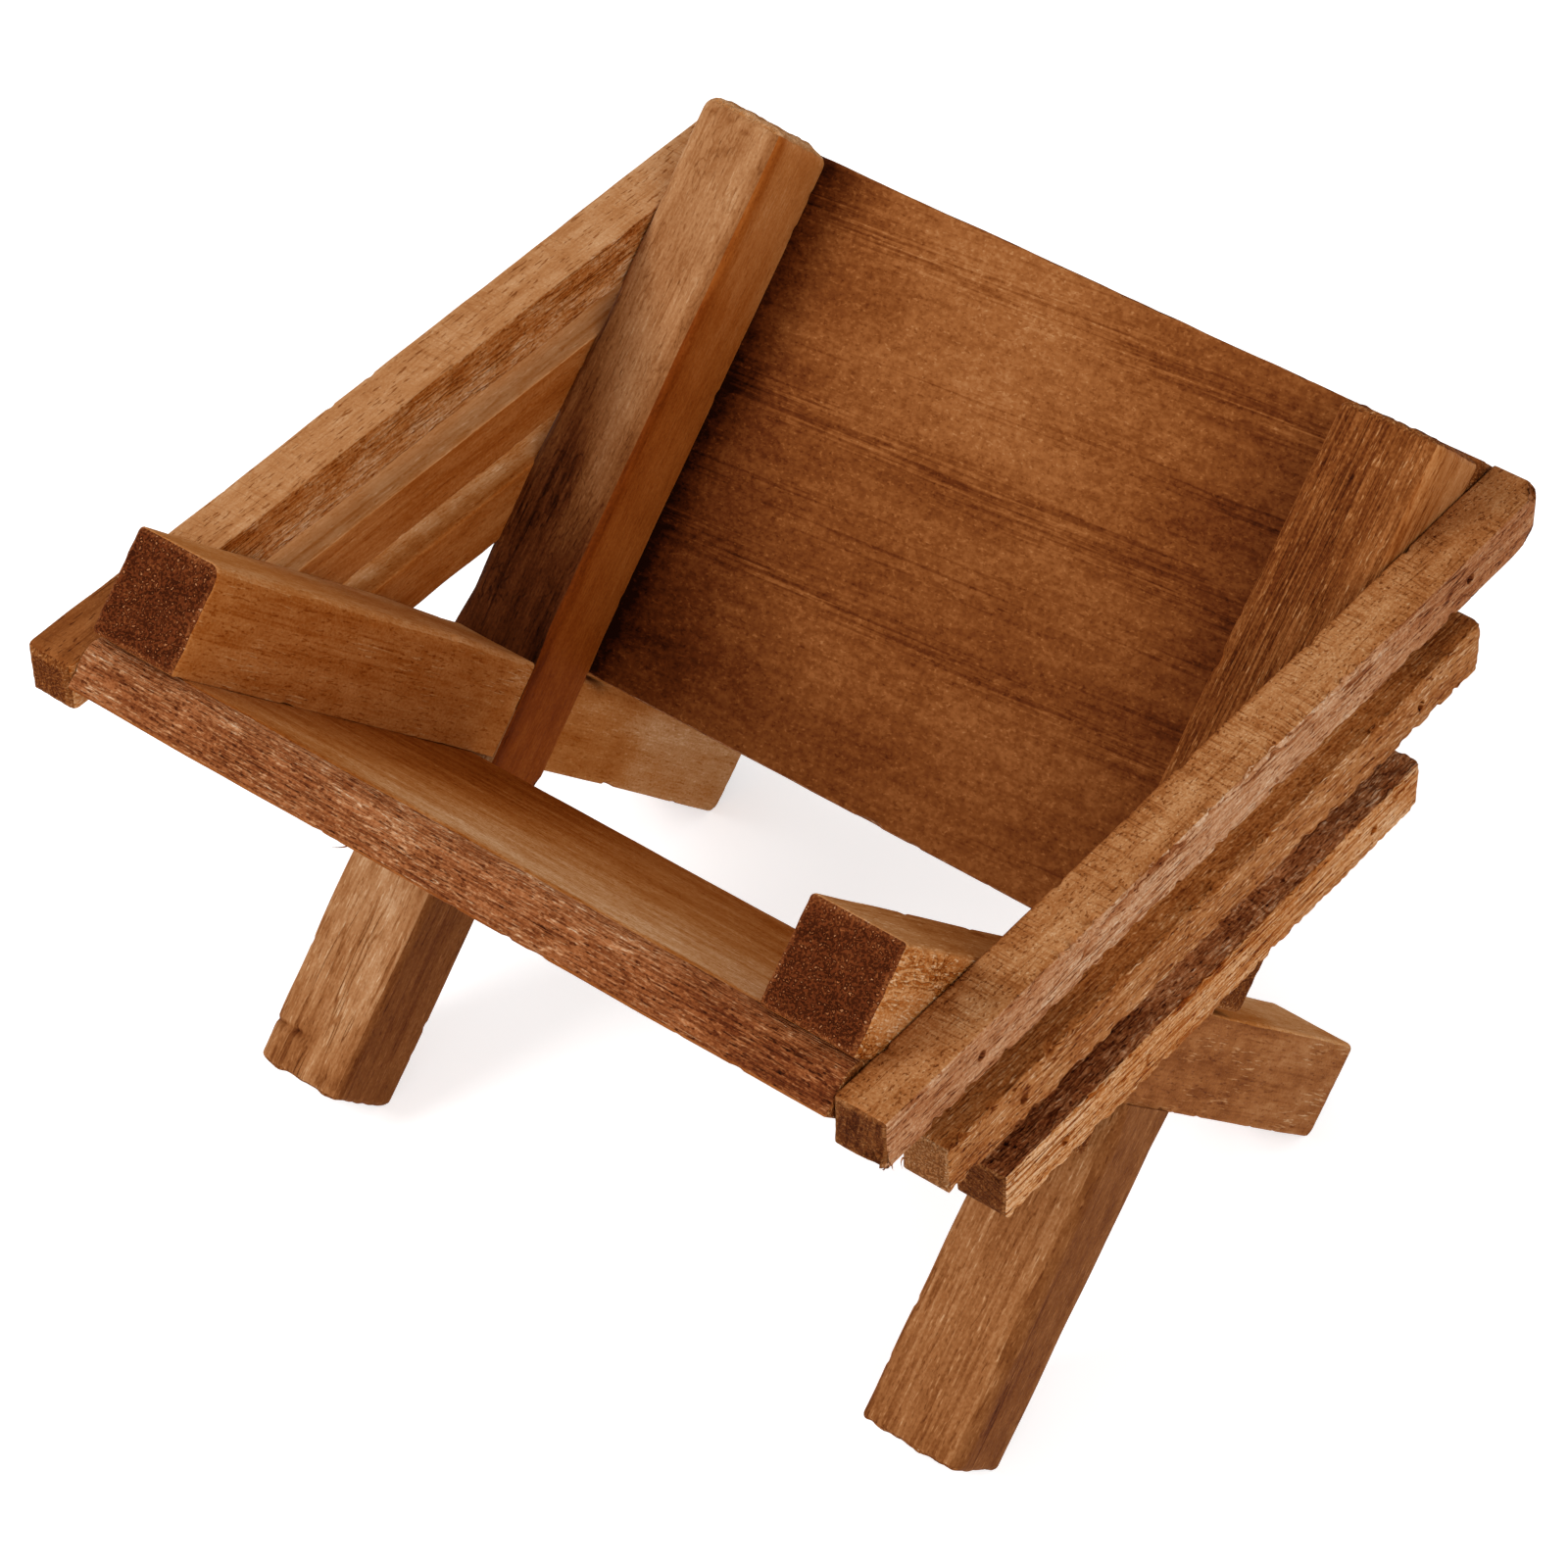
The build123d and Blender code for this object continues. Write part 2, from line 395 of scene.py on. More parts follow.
# cloudy, the stain wiped on in turns, with bundles of lines; lighter towards the top and darker low down, to
# the left and towards the right front leg, partly stain and partly painted shade; a painted shadow of the
# left front leg in a strip beside it
boardBelts = ((alongY, 4.8, 3.4), (alongY, 23.5, 3.0), (alongY, -11, 2.6))
looks["mottled"] = "wood sanded and wiped with stain", vary(
    planed, 0.33, tan,
    [
        (alongY, 0, 20, 0.12), (alongY, -12, -26, -0.06), ((1, 0.5, 0), 8, 36, -0.21),
        (alongX, -10, -34, -0.17), (alongX, -28.5, -32.5, -0.15), (alongX, -31, -33.5, -0.14),
    ],
    mottle=row((1.3, 1.0, 1.0), (0.34, 0.66), 0.09, 0.01, detail=2),
    blush=row((18, 10, 10), (0.36, 0.64), 0.10, detail=2),
    lines=row((16, 0.4, 0.8), (0.54, 0.68), -0.11, -0.01, cluster=(80, 4, 4)),
    seams=row((13, 0.36, 0.6), (0.46, 0.60), -0.14, -0.02, belts=boardBelts),
    threads=row((9, 0.34, 0.5), (0.54, 0.66), 0.13, 0.02, belts=boardBelts),
    flecks=row((0.5, 0.32, 0.32), (0.62, 0.72), 0.12, 0.02),
    speckle=row((0.5, 0.42, 0.42), (0.34, 0.66), 0.09, 0.01),
    pores=row((0.4, 0.3, 0.3), (0.61, 0.69), -0.07, -0.02),
    growth=0.05, fibres=0.02,
)
# orange near the top, deeper towards the bottom of the trough; darker at the left end, a painted shadow of
# the left back leg, and painted shade on the round top arris, which faces the lamps
looks["orangeSmooth"] = "wood planed and stained orange", vary(
    planed, 0.75, warm,
    [(alongY, 24, -14, -0.20), (alongX, 2, 26, -0.17), (alongY, 23.6, 25.2, -0.17)], 0.0,
    lines=-0.04,
    pores=row((0.7, 0.3, 0.3), (0.60, 0.68), -0.14, -0.03),
    flecks=0.12,
    speckle=dict(tone=0.10, height=0.02),
    mottle=0.09,
)
# dark furrows and light fibres side by side
looks["fibrous"] = "wood ripped with a coarse saw", vary(
    sawn, 0.39, russet, [(alongX, -10, -40, -0.12), (alongX, 30, 42, 0.08), (alongZ, -0.4, 2.0, 0.11)],
    lines=row((8.0, 0.22, 0.22), (0.48, 0.60), -0.14, -0.09),
    flecks=row((1.0, 0.18, 0.18), (0.55, 0.64), 0.22, 0.05),
    pores=-0.18,
    cracks=dict(tone=-0.09, height=-0.08, cluster=(12, 3, 3)),
    saw=-0.02, mottle=0.07,
)
# golden with fine cross strokes, browner at the ends
looks["goldenSawn"] = "wood cross sawn and oiled", vary(
    sawn, 0.605, tan, [(alongX, 24, 44, -0.06), (alongX, -34, -50, -0.09)], **crossSawn
)
# paler, with sparse short pores, browner towards the front end
looks["goldenPale"] = "wood cross sawn and oiled pale", vary(
    sawn, 0.71, tan, [(alongX, 30, 44, -0.26)],
    **{
        **crossSawn,
        "saw": dict(tone=-0.03, height=-0.01),
        "strokes": row((1.1, 9, 9), (0.46, 0.49), -0.06, -0.02, ridge=True, cluster=(7, 4, 4)),
        "pores": row((1.4, 0.24, 0.24), (0.64, 0.70), -0.22, -0.05),
        "flecks": row((0.4, 0.24, 0.24), (0.63, 0.70), 0.06, 0.01),
        "speckle": 0.05,
        "cracks": dict(tone=-0.04, height=-0.02),
        "mottle": 0.06,
    }
)
# pinkish tan with thin cracks, browner towards both ends
looks["roughTan"] = "wood rough sawn and wiped", vary(
    sawn, 0.75, russet, [(alongX, -16, -40, -0.09), (alongX, 16, 36, -0.16)],
    cracks=-0.34, mottle=0.06, fibres=0.04, flecks=0.09,
)
# orange brown, with soft cracks and short bright fibres
looks["roughOrange"] = "wood rough sawn and stained", vary(
    sawn, 0.56, stain,
    cracks=dict(tone=-0.20, height=-0.08),
    fibres=0.11, lines=-0.14, flecks=0.26, mottle=0.08,
)
# browner, with fewer marks: the middle slat's top face with the shade of the top slat painted in
looks["roughBrown"] = "wood rough sawn in painted shade of the slat above", vary(
    sawn, 0.505, stain,
    cracks=dict(tone=-0.06, height=-0.04),
    lines=-0.09, pores=-0.14, fibres=0.08, mottle=0.06,
)
# dark brown, a painted shade for faces seen only in gaps
looks["roughDark"] = "wood rough sawn in painted shade", vary(sawn, 0.40, stain)
# torn fibres, dark between the tufts
looks["tornDark"] = "wood torn by a blunt saw", vary(
    sawn, 0.345, russet, [(alongX, -16, -4, 0.10)],
    cracks=-0.14,
    lines=row((1.3, 0.34, 0.34), (0.46, 0.58), -0.12, -0.12),
    tufts=row((1.0, 0.3, 0.3), (0.54, 0.64), 0.16, 0.08),
    saw=row((0.45, 1.8, 1.8), (0.46, 0.58), -0.14, -0.08, cluster=(10, 6, 6)),
)
# pale with long straight lines, palest at the front end
looks["paleSawn"] = "wood sawn clean and wiped", vary(
    sawn, 0.85, warm, [(alongX, -30, -12, -0.145), (alongX, 12, 26, 0.06)],
    lines=row((7, 0.24, 0.24), (0.50, 0.64), -0.22, -0.06),
    fibres=0.07, flecks=0.12, saw=-0.03,
    cracks=dict(size=(10, 0.7, 0.7), cluster=(9, 2, 2)),
)
# rough and reddish above, wiped light below
looks["twoToned"] = "wood rough sawn and half wiped", vary(
    sawn, 0.715, warm, [(alongZ, -0.9, 0.3, -0.10)], 0.0,
    cracks=dict(tone=-0.12, cluster=(9, 2, 2)),
    lines=-0.12, pores=-0.16, fibres=0.10, flecks=0.12,
)
# dark red brown with open vessels
looks["endDark"] = "wood end grain soaked dark", vary(
    endGrain, 0.235, russet, walls=0.14, glints=dict(span=(0.655, 0.70), tone=0.5)
)
# brown, the strokes of the saw still show
looks["endSawn"] = "wood end grain cross cut", vary(
    endGrain, 0.35, dry,
    vessels=-0.12, walls=0.14, glints=0.2,
    strokes=row((3, 5, 0.35), (0.48, 0.62), -0.12, -0.05),
)
# warmer, with bright walls between the vessels
looks["endBrown"] = "wood end grain sanded", vary(endGrain, 0.36, tan, walls=0.2)
# greyish tan with dark vessels
looks["endGrey"] = "wood end grain weathered", vary(endGrain, 0.56, dry, walls=0.14)
# pale and rubbed round, the vessels nearly closed; paler still as painted light, since the end faces away
# from the lamps
looks["endPale"] = "wood end grain rubbed, with painted light", vary(
    endGrain, 0.74, stain, shine=0.0, vessels=-0.08, walls=0.06, glints=0.1
)
finishes = {key: stainedWood(name, look) for key, (name, look) in looks.items()}
print("stage: wood finishes made")

quarter = math.pi / 2
# How the bars are divided: steps round a corner and a rim, how far a ring turns before it takes the
# end's finish, rings of an end as shares of the spacing, and mm round a pin and at a lap
divide = {
    "corner": 5, "cornerArc": 1.6, "cornerRoom": 0.4, "rim": 5, "endFrom": 0.55, "endFirst": 0.7,
    "endStep": 0.8, "endShare": 0.97, "fineStep": 0.1, "fineCount": 8, "fineClear": 0.85,
    "lapClear": 0.2, "lapEdge": 0.02,
}
# How the bars are worn: three numbers are the size of a noise in mm, reaches are in mm, lumps per mm
wear = {
    "arris": (7, 1, 1), "arrisShare": 0.35, "leastRound": 0.06, "lapSharp": 0.25, "lapReach": 4,
    "wave": (18, 9, 9), "fibre": (4.5, 0.6, 0.6), "torn": (1.3, 0.7, 0.7),
    "chip": (1.9, 3, 3), "chipFrom": 0.38, "chipReach": 0.6,
    "fray": (1.1, 0.8, 1), "frayMore": 0.05, "frayReach": 0.7, "frayShade": 0.5,
    "markLumps": 1.7, "markWobble": 0.5, "markFade": 1.5, "markEnd": 4, "markReach": 2.2,
    "rag": (1.1, 1.1, 1), "tatter": (0.5, 0.5, 1), "tatterLess": 0.15, "tatterReach": 1.8,
}
pinHole = {
    "radius": 0.50, "slope": 0.1, "depth": 0.42, "stainRadius": 0.66, "stainSlope": 0.2, "stainAndShade": 0.7,
    "lumps": 4, "wobble": 0.06,
}
strand = {"rings": 8, "round": 5, "taper": 0.8}  # a loose fibre
cornerSigns = ((1, 1), (-1, 1), (-1, -1), (1, -1))  # along Y and Z, in the order of the section
endFinishes = {-1: 4, 1: 5}  # places in a bar's list of faces
lowerFinishes = 6


# Where the points of a flat side stand, as shares of its length; closer together round each fine spot
def spread(length, spacing, fine=()):
    count = max(2, round(length / spacing))
    shares = [i / count for i in range(1, count)]
    steps = range(-divide["fineCount"], divide["fineCount"] + 1)
    for middle in fine:
        shares = [s for s in shares if abs(s * length - middle) > divide["fineClear"]]
        shares += [(middle + divide["fineStep"] * k) / length for k in steps]
    return sorted(shares)


# A rounded section, counter-clockwise from the +Y side: y, z, normal, side (with a fraction on the
# corner after it) and mm to the nearest arris
def sectionRing(halfY, halfZ, rounds, shares):
    ring = []
    for side in range(4):
        angle = side * quarter
        out = Vector((math.cos(angle), math.sin(angle)))
        along = Vector((-out.y, out.x))
        halfOut, halfAlong = (halfY, halfZ) if side % 2 == 0 else (halfZ, halfY)
        low, high = rounds[side - 1] - halfAlong, halfAlong - rounds[side]
        for share in shares[side]:
            t = low + (high - low) * share
            spot = out * halfOut + along * t
            ring.append((spot.x, spot.y, out.x, out.y, float(side), halfAlong - abs(t)))
        corner = out * (halfOut - rounds[side]) + along * (halfAlong - rounds[side])
        for i in range(divide["corner"] + 1):
            turn = i / divide["corner"]
            face = angle + turn * quarter
            away = Vector((math.cos(face), math.sin(face)))
            spot = corner + away * rounds[side]
            arris = abs(turn - 0.5) * rounds[side] * divide["cornerArc"]
            ring.append((spot.x, spot.y, away.x, away.y, side + turn, arris))
    return ring


# The rings of a bar: place along X, end it belongs to, how far it has turned to the end face, inset
# and whether it lies in the lap
def ringPlaces(halves, shape):
    halfX, spacing, notch = halves[0], shape["spacing"], shape.get("notch")
    caps = []
    for end, rim in zip((-1, 1), shape["rims"]):
        cap = []
        for i in range(1, divide["rim"] + 1):
            turn = i / divide["rim"] * quarter
            x = end * (halfX - rim + rim * math.sin(turn))
            cap.append((x, end, math.sin(turn), rim * (1 - math.cos(turn)), False))
        inset = rim + spacing * divide["endFirst"]
        while inset < min(halves[1:]) * divide["endShare"]:
            cap.append((end * halfX, end, 1.0, inset, False))
            inset += spacing * divide["endStep"]
        caps.append(cap)
    start, stop = shape["rims"][0] - halfX, halfX - shape["rims"][1]
    steps = spread(stop - start, spacing, [p - start for p in shape.get("pins", ())])
    body = [start] + [start + (stop - start) * s for s in steps] + [stop]
    if notch:
        near, step = divide["lapClear"], divide["lapEdge"]
        body = [x for x in body if min(abs(x - notch[0]), abs(x - notch[1])) > near]
        body += [notch[0] - step, notch[0] + step, notch[1] - step, notch[1] + step]
    middle = [(x, 0, 0.0, 0.0, bool(notch and notch[0] < x < notch[1])) for x in sorted(body)]
    return caps[0][::-1] + middle + caps[1]


# Quads between rings of points, and both end faces
def skinRings(first, rings, count):
    tip = first + (rings - 1) * count
    faces = []
    for low in range(first, tip, count):
        for j in range(count):
            k = (j + 1) % count
            faces.append((low + j, low + k, low + count + k, low + count + j))
    return faces + [tuple(range(first, first + count))[::-1], tuple(range(tip, tip + count))]


# Value at x on a line through knots
def between(knots, x):
    for (x0, v0), (x1, v1) in zip(knots, knots[1:]):
        if x <= x1:
            return v0 + (v1 - v0) * min(1.0, max(0.0, (x - x0) / (x1 - x0)))
    return knots[-1][1]


# Noise with lumps of this size in mm
def lumps(here, size, seed):
    return noise.noise(Vector([h / s for h, s in zip(here, size)]) + seed)


# From 1 inside a radius to 0 outside it, with a slope in mm
def within(apart, radius, slope):
    return min(1.0, max(0.0, (radius - apart) / slope))


# mm across the section to one of its four corners
def toCorner(here, corner, halves):
    signY, signZ = cornerSigns[corner]
    return math.hypot(here[1] - signY * halves[1], here[2] - signZ * halves[2])


# How far wear moves a point out from its flat place, and how much it darkens there: stain it drinks, and
# painted shade in frayed cracks, torn spots, creases and gaps.
# The seed is multiplied to keep the noises apart.
def wornAt(here, side, edge, end, marks, halves, shape, seed):
    flat = Vector(here)
    one, two, blend = int(side) % 4, int(side + 0.999) % 4, side % 1
    fibre = shape["fibre"][one] * (1 - blend) + shape["fibre"][two] * blend
    torn = shape.get("torn", (0, 0, 0, 0))
    torn = torn[one] * (1 - blend) + torn[two] * blend
    rise = shape["wave"] * lumps(here, wear["wave"], seed)
    rise += fibre * lumps(here, wear["fibre"], seed * 2)
    if torn:
        rise += torn * lumps(here, wear["torn"], seed * 5)
    chip = max(0.0, lumps(here, wear["chip"], seed * 3) - wear["chipFrom"])
    rise -= shape["chips"] * chip * math.exp(-((edge / wear["chipReach"]) ** 2))
    stainAndShadeHere = 0.0
    # frayed arrises are cut in, and darkened as painted shade in the torn cracks
    for corner, depth, first, last in shape.get("fray", ()):
        if first < here[0] < last:
            gap = toCorner(here, corner, halves)
            tear = lumps((here[0], gap, corner), wear["fray"], seed * 4) + wear["frayMore"]
            tear = max(0.0, tear) * math.exp(-((gap / wear["frayReach"]) ** 2))
            rise -= depth * tear
            stainAndShadeHere += wear["frayShade"] * tear
    for at, size, depth, stainAndShade in marks:
        gap = sum(((flat[i] - at[i]) / size[i]) ** 2 for i in range(3))
        gap += wear["markWobble"] * noise.noise(flat * wear["markLumps"] + seed)
        if gap < wear["markEnd"]:
            share = math.exp(-max(0.0, gap) * wear["markFade"])
            rise -= depth * share
            stainAndShadeHere += stainAndShade * share
    if int(side + 0.5) % 4 == 2 and not end:
        for p in shape.get("pins", ()):
            wobble = pinHole["wobble"] * noise.noise(flat * pinHole["lumps"] + seed)
            apart = math.hypot(here[0] - p, here[2]) + wobble
            rise -= pinHole["depth"] * within(apart, pinHole["radius"], pinHole["slope"])
            stainAndShadeHere += pinHole["stainAndShade"] * within(apart, pinHole["stainRadius"], pinHole["stainSlope"])
    return rise, stainAndShadeHere


# Widens the sides, tears and stretches the ends, cuts the lap and rounds the noses
def formed(spot, here, end, facing, cut, halves, shape, seed):
    x, y, z = here
    stretch, tilt = shape.get("stretch", (0.0, 0.0)), shape.get("tilt", (0.0, 0.0))
    for face, knots in shape.get("swell", {}).items():
        axis, sign = 1 + face % 2, (1, 1, -1, -1)[face]
        if spot[axis] * sign > 0:
            spot[axis] *= 1 + between(knots, x) / halves[axis]
    if end:
        spot.x += end * facing * shape["ragged"] * lumps((y, z, end), wear["rag"], seed)
        for way, corner, reach in shape.get("tatters", ()):
            if way == end:
                gap = toCorner(here, corner, halves)
                rag = lumps((y, z, 3), wear["tatter"], seed) - wear["tatterLess"]
                spot.x += end * reach * rag * math.exp(-((gap / wear["tatterReach"]) ** 2))
    nearEnd = abs(x / halves[0]) ** 3
    spot.x += nearEnd * (math.copysign(1, x) * stretch[x > 0] + tilt[x > 0] * y)
    if cut and spot.y * shape["notch"][2] > 0:
        spot.y = -divide["lapEdge"] * shape["notch"][2]
    for way, axis, sign, radius in shape.get("noses", ()):
        wide, tip = halves[axis], halves[0] + stretch[way > 0]
        ahead, beside = way * spot.x - tip + radius, sign * spot[axis] - wide + radius
        past = math.hypot(ahead, beside)
        if ahead > 0 and beside > 0 and past > radius:
            spot.x = way * (tip - radius + ahead * radius / past)
            spot[axis] = sign * (wide - radius + beside * radius / past)
    return spot


# Sweeps the section along X, rounds both ends and works in wear and marks.
# Returns points, faces, the finish number of each face and the point values that the finishes read.
def barMesh(size, shape):
    halves = [s / 2 for s in size]
    halfX, halfY, halfZ = halves
    seed = Vector((17.3, 5.1, 9.7)) * shape["seed"]  # far enough apart that no two bars look alike
    grainSeed = seed * 3.7
    room = divide["cornerRoom"]
    widths = (size[2], size[1], size[2], size[1])
    fine = [(halfZ - room,) if side == 2 and shape.get("pins") else () for side in range(4)]
    shares = [spread(widths[side] - 2 * room, shape["across"][side], fine[side]) for side in range(4)]
    notch = shape.get("notch")
    rings = ringPlaces(halves, shape)
    turned = Matrix.Rotation(math.radians(shape["ringTurn"]), 3, "X")
    turned @= Matrix.Rotation(math.radians(shape.get("slant", 0.0)), 3, "Z")
    verts, values = [], {"grain": [], "place": [], "edge": [], "stainAndShade": []}

    def addPoint(spot, *pointValues):
        verts.append(spot)
        for kept, value in zip(values.values(), pointValues):
            kept.append(value)

    for x, end, facing, inset, cut in rings:
        flank = math.sqrt(max(0.0, 1 - facing * facing))
        ease = 1 + wear["arrisShare"] * lumps((x, 0, 0), wear["arris"], seed)
        if notch:
            lap = max(notch[0] - x, x - notch[1], 0.0)
            ease *= wear["lapSharp"] + (1 - wear["lapSharp"]) * min(1.0, lap / wear["lapReach"])
        rounds = [max(wear["leastRound"], r * ease - inset) for r in shape["rounds"]]
        marks = shape.get("marks", ())
        marks = [m for m in marks if abs(x - m[0][0]) < wear["markReach"] * m[1][0]]
        for y, z, ny, nz, side, edge in sectionRing(halfY - inset, halfZ - inset, rounds, shares):
            here = (x, y, z)
            flat = Vector(here)
            away = Vector((end * facing, ny * flank, nz * flank))
            rise, stainAndShadeHere = wornAt(here, side, edge, end, marks, halves, shape, seed)
            spot = formed(flat + away * rise, here, end, facing, cut, halves, shape, seed)
            toArris = inset if facing > 0.99 else min(edge, halfX - abs(x))
            addPoint(spot, turned @ flat + grainSeed, flat, toArris, stainAndShadeHere)
    count = len(verts) // len(rings)
    sides = [p[4] for p in sectionRing(halfY, halfZ, shape["rounds"], shares)]
    nextShare = 1 - shape.get("handOver", 0.5)  # of each corner, which has the next side's finish
    changes = shape.get("change", {})  # where a side takes its lower finish, if not in the lap
    faces, finish = skinRings(0, len(rings), count), []
    for ring, after in zip(rings, rings[1:]):
        atEnd = min(ring[2], after[2]) > divide["endFrom"] and ring[1]
        for one, two in zip(sides, sides[1:] + [4.0]):
            side = int((one + two) / 2 + nextShare) % 4
            below = notch and ring[0] < changes.get(side, sum(notch[:2]) / 2)
            finish.append(endFinishes[atEnd] if atEnd else side + (lowerFinishes if below else 0))
    finish += [endFinishes[-1], endFinishes[1]]
    # loose fibres: thin tapered curls
    around, steps = strand["round"], strand["rings"] - 1
    for *curl, thick in shape.get("strands", ()):
        root, heading, bend = (Vector(c) for c in curl)
        faces += skinRings(len(verts), strand["rings"], around)
        finish += [2] * (steps * around + 2)  # as the outer side
        across = heading.orthogonal().normalized()
        beside = heading.cross(across).normalized()
        for i in range(strand["rings"]):
            t = i / steps
            core = root + heading * t + bend * t * t
            reach = thick * (1 - strand["taper"] * t)
            for k in range(around):
                angle = 2 * math.pi * k / around
                spot = core + (across * math.cos(angle) + beside * math.sin(angle)) * reach
                addPoint(spot, spot + grainSeed, root, 1.0, 0.0)
    return verts, faces, finish, values


# Sets a bar in the CAD frame in place of its node and gives every side its finish
def makeBar(node, size, axes, middle, shape):
    verts, faces, finish, values = barMesh(size, shape)
    turn = Matrix(axes).transposed()
    spots = [turn @ (v + Vector(shape.get("shift", (0, 0, 0)))) + middle for v in verts]
    mesh = bpy.data.meshes.new(node + "_wood")
    mesh.from_pydata([(s.x * mm, s.y * mm, max(s.z, 0.0) * mm) for s in spots], [], faces)
    for label in ("grain", "place"):
        data = mesh.attributes.new(label, "FLOAT_VECTOR", "POINT").data
        data.foreach_set("vector", [c for v in values[label] for c in v])
    for label in ("edge", "stainAndShade"):
        mesh.attributes.new(label, "FLOAT", "POINT").data.foreach_set("value", values[label])
    names = sorted(set(shape["faces"]))
    for look in names:
        mesh.materials.append(finishes[look])
    mesh.polygons.foreach_set("material_index", [names.index(shape["faces"][f]) for f in finish])
    mesh.shade_smooth()
    mesh.set_sharp_from_angle(angle=math.radians(55))
    piece = bpy.data.objects.new(node + "_wood", mesh)
    scene.collection.objects.link(piece)
    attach(piece, "root")
    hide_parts(node)


def boxMm(node):
    low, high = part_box(node)
    return Vector(low) / mm, Vector(high) / mm


half = math.sqrt(0.5)  # sine of the legs' and boards' lean

# Legs: sides are +Y, inner V side, -Y, outer V side, then foot end and top end, then the four sides
# below the lap. A front leg's -Y side looks along +X, a back leg's +Y side does. In all bars a mark is
# a place, a size, a depth and how much it darkens, painted shade where it lies in a crease, tear, gap
# or corner, and a strand is a root, a heading, a bend and a thickness.
legCommon = {
    "rounds": (0.6,) * 4, "rims": (0.45, 0.5), "spacing": 0.4, "across": (0.4,) * 4,
    "wave": 0.1, "fibre": (0.02,) * 4, "chips": 0.8, "ragged": 0.25,
}
legs = {
    "left_front_leg": {
        "seed": 1, "ringTurn": 20, "rims": (0.7, 1.5), "rounds": (1.3, 1.2, 0.2, 0.6), "handOver": 0.4,
        "change": {2: -24}, "stretch": (0.1, 0.45), "tilt": (0.0, 0.06),
        "swell": {
            0: ((-50, 0.25), (-20, 0.45), (5, 0.75), (12, 0.6), (22, 0.15), (30, 0.0)),
            2: ((-50, 0.4), (-20, 0.4), (0, 0.0)),
        },
        # a crosswise crease above the foot's end with painted shade in it, and darkened dents at the top
        "marks": (
            ((-48.4, 4.4, 5), (0.3, 1.6, 3), 0.3, 0.3),
            ((-48.5, 2.0, 5), (0.35, 1.6, 3), 0.55, 0.5),
            ((-51.0, -2.6, 5), (0.8, 0.9, 2), 0.4, 0.2),
            ((51.2, 3.2, 5), (0.25, 0.7, 2), 0.4, 0.4),
            ((51.1, 1.0, 5), (0.3, 0.4, 2), 0.4, 0.4),
            ((50.8, -0.9, 5), (0.3, 0.7, 2), 0.4, 0.4),
        ),
        "faces": ("plain", "tanStreaked", "redSmooth", "plain", "endBrown", "endPale",
                  "plain", "footTan", "footDull", "plain"),
    },
    "left_back_leg": {
        "seed": 2, "ringTurn": 65, "rims": (0.9, 0.5), "rounds": (1.4, 0.6, 0.6, 0.2), "stretch": (0.4, 0.0),
        "swell": {1: ((-10, 0.0), (10, 0.65))},
        "strands": (((52.0, -4.4, 5.3), (0.1, 3.0, 0.5), (0.3, 0.0, -1.1), 0.09),),
        "faces": ("orangeFlecked", "plainWarm", "plain", "plain", "endBrown", "endDark",
                  "footPale", "footPale", "plain", "plain"),
    },
    "right_front_leg": {
        "seed": 3, "ringTurn": 40, "rims": (0.7, 0.9), "rounds": (0.6, 1.8, 0.6, 0.6),
        "stretch": (0.2, -0.45),
        "swell": {
            0: ((-50, 0.5), (-10, 0.8), (10, 1.05)),
            2: ((-50, 0.5), (-20, 0.35), (0, 0.0)),
        },
        "fibre": (0.02, 0.08, 0.02, 0.02),
        "faces": ("plain", "ribbed", "tanPlain", "plain", "endBrown", "endBrown",
                  "plain", "footLined", "footStreaked", "plain"),
    },
    "right_back_leg": {
        "seed": 4, "ringTurn": 80, "rims": (0.9, 0.5), "rounds": (0.6, 0.6, 0.6, 0.2), "stretch": (0.35, 0.0),
        "change": {0: 0},
        "swell": {
            1: ((0, 0.0), (12, 0.5)),
            2: ((-50, 0.15), (50, 0.15)),
            3: ((-50, 0.3), (-20, 0.2), (0, 0.0)),
        },
        "fray": ((0, 0.8, 44, 53),),
        "faces": ("tanWrinkled", "plainTan", "plain", "plain", "endBrown", "endDark",
                  "footGolden", "footPale", "plain", "plain"),
    },
}
lapFromFoot = 42.8  # mm along the leg, from the foot's end
for node, own in legs.items():
    low, high = boxMm(node)
    section = high.x - low.x
    side = high.y - low.y
    length = side / half - section
    middle = Vector(((low.x + high.x) / 2, (low.y + high.y) / 2, high.z - side / 2))
    rises = 1 if "front_leg" in node else -1
    axes = (Vector((0, rises * half, half)), Vector((-rises, 0, 0)), Vector((0, -rises * half, half)))
    lap = lapFromFoot - length / 2
    # the front leg loses the outer half of the lap, the back leg the inner half
    cutSide = -1 if node.startswith("right") else 1
    shape = {**legCommon, "notch": (lap - section / 2, lap + section / 2, cutSide), **own}
    makeBar(node, (length, section, section), axes, middle, shape)
print("stage: legs made")

